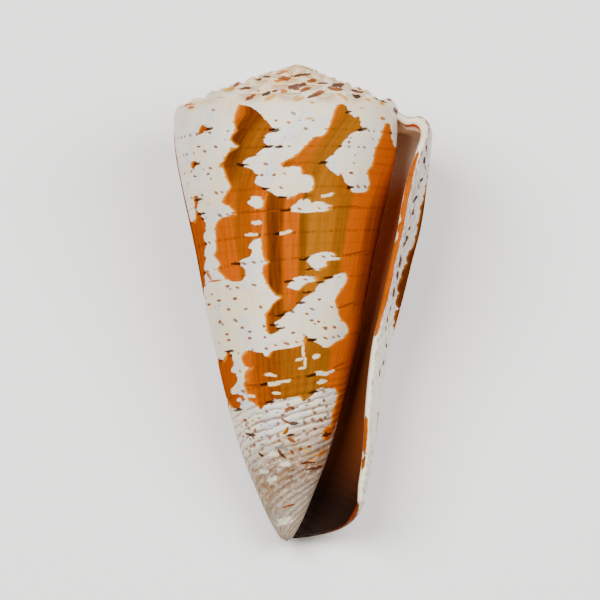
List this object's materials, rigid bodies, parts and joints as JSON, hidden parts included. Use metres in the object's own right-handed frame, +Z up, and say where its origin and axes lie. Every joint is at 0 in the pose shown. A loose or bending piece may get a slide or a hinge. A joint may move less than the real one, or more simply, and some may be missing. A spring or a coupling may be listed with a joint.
{
  "type": "imperial cone shell",
  "caption": "Empty sea snail shell, a tall cone with a low knobbed spire and a long slit mouth, banded brown and orange on white, lying on its back.",
  "frame": {"origin": "on the surface the shell lies on, under the middle of its bounding box", "axes": "+Y towards the spire, -Y towards the narrow front end, +Z up, the side the mouth opens to, +X towards the outer lip"},
  "size_m": [0.0438, 0.0784, 0.0408],
  "materials": {
    "shell": "gloss"
  },
  "bodies": {
    "root": {"shell": "shell"}
  },
  "joints": []
}
